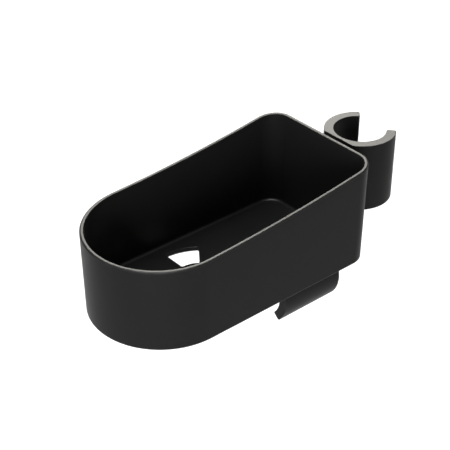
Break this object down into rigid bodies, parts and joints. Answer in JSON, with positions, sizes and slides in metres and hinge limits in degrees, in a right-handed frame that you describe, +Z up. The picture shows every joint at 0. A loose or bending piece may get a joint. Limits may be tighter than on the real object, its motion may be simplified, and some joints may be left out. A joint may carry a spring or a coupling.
{
  "type": "clip-on tool storage caddy",
  "caption": "Open tool tub with a rounded front, rising rim and slotted floor, held on an upright and a level tube by C clips on slide-off rails.",
  "frame": {"origin": "on the axis of the upright tube's clip, half way up the clip", "axes": "+Z up along the upright tube; +X from the tub towards the upright tube, out of the clip's mouth; +Y to the tub's left side seen from its rounded front"},
  "size_m": [0.2527, 0.1052, 0.1268],
  "materials": {
    "tub_plastic": "satin",
    "clip_plastic": "satin",
    "shoe_plastic": "matt",
    "screw_steel": "zinc plated"
  },
  "bodies": {
    "pole_mount": {"pole_clip": "clip_plastic", "pole_clip_shoe": "shoe_plastic", "pole_clip_screws": "screw_steel"},
    "tub": {"tray_tub": "tub_plastic"},
    "rail_mount": {"rail_clip": "clip_plastic", "rail_clip_shoe": "shoe_plastic", "rail_clip_screws": "screw_steel"}
  },
  "joints": [
    {"name": "tub_lift", "type": "slide", "parent": "pole_mount", "child": "tub", "axis": [0, 0, 1], "range_m": [0, 0.04]},
    {"name": "rail_clip_slide", "type": "slide", "parent": "tub", "child": "rail_mount", "axis": [-1, 0, 0], "range_m": [0, 0.04]}
  ]
}
